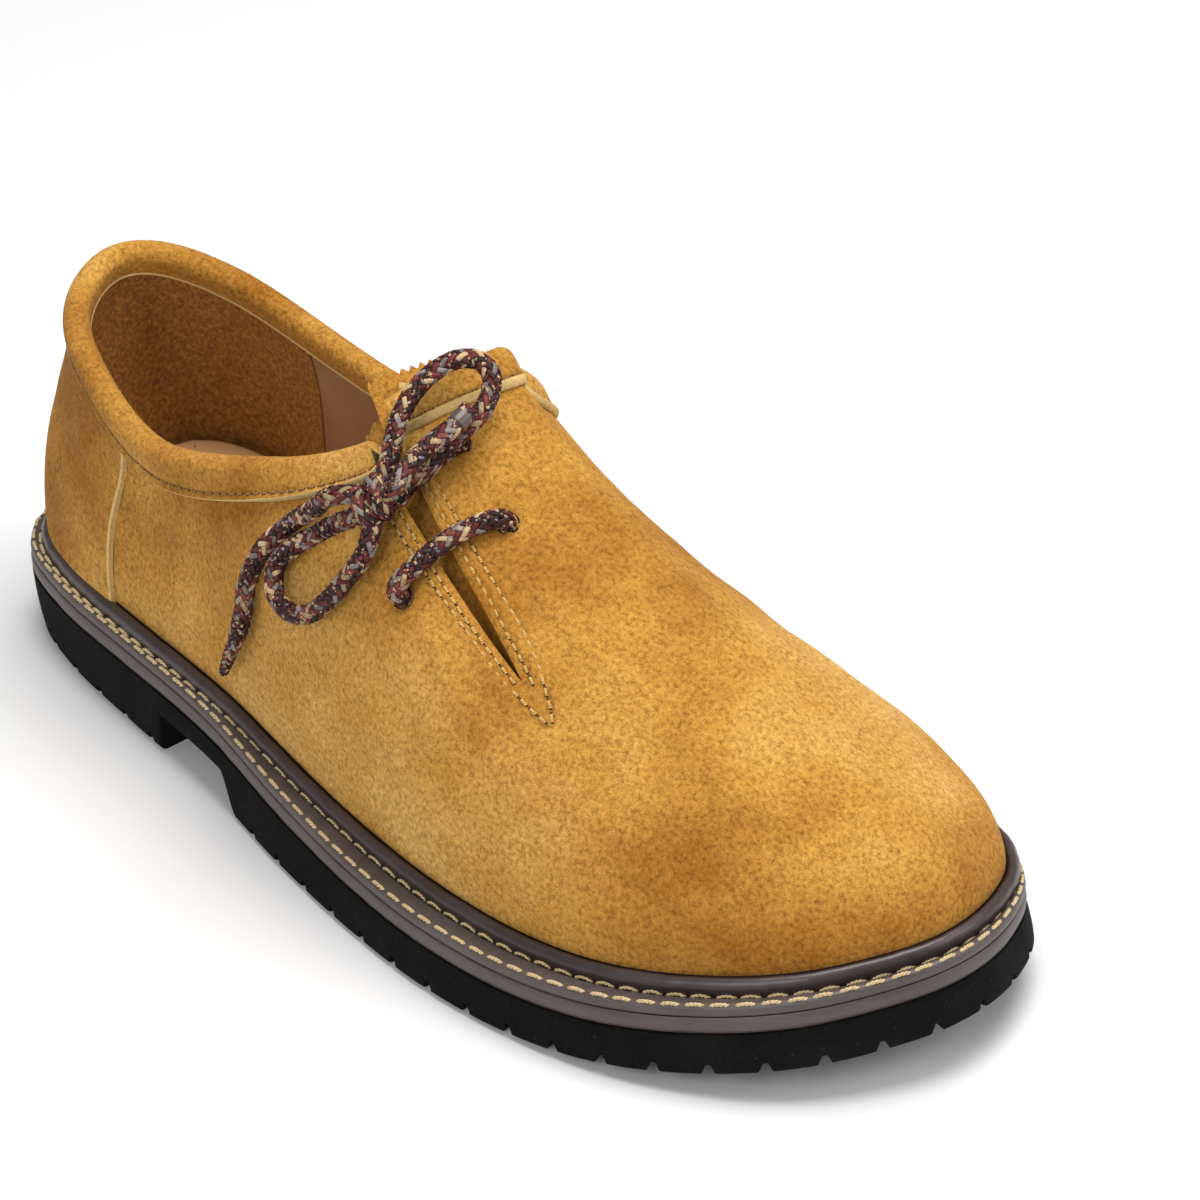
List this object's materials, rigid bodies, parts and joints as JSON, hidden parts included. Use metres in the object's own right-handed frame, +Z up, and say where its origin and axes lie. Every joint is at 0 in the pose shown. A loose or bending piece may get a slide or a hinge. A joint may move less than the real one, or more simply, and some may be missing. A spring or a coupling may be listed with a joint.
{
  "type": "side-laced suede shoe",
  "caption": "Low suede folk shoe with a side slit laced over a tongue, rolled collar, storm welt and lugged rubber sole.",
  "frame": {"origin": "on the floor, under the middle of the heel", "axes": "+X towards the toe, +Y towards the inner side of the foot, +Z up"},
  "size_m": [0.2983, 0.1176, 0.1219],
  "materials": {
    "outsole_rubber": "matte black moulded rubber with fine pale specks",
    "midsole_layer": "satin taupe-brown edge",
    "welt_strip": "smooth dark brown with a soft shine",
    "insole_leather": "smooth tan leather",
    "suede": "golden-brown suede with a soft mottled nap",
    "suede_binding": "golden-brown suede binding with pale cut edges",
    "lace_braid": "round braid of burgundy, brown, cream and blue-grey yarn"
  },
  "bodies": {
    "root": {"outsole": "outsole_rubber", "midsole": "midsole_layer", "welt": "welt_strip", "insole": "insole_leather", "upper": "suede", "counter": "suede", "collar": "suede_binding", "tongue": "suede", "lace_bar_lower": "lace_braid", "lace_bar_upper": "lace_braid", "lace_knot": "lace_braid", "lace_loop_upper": "lace_braid", "lace_loop_lower": "lace_braid", "lace_end_long": "lace_braid", "lace_end_short": "lace_braid"}
  },
  "joints": []
}
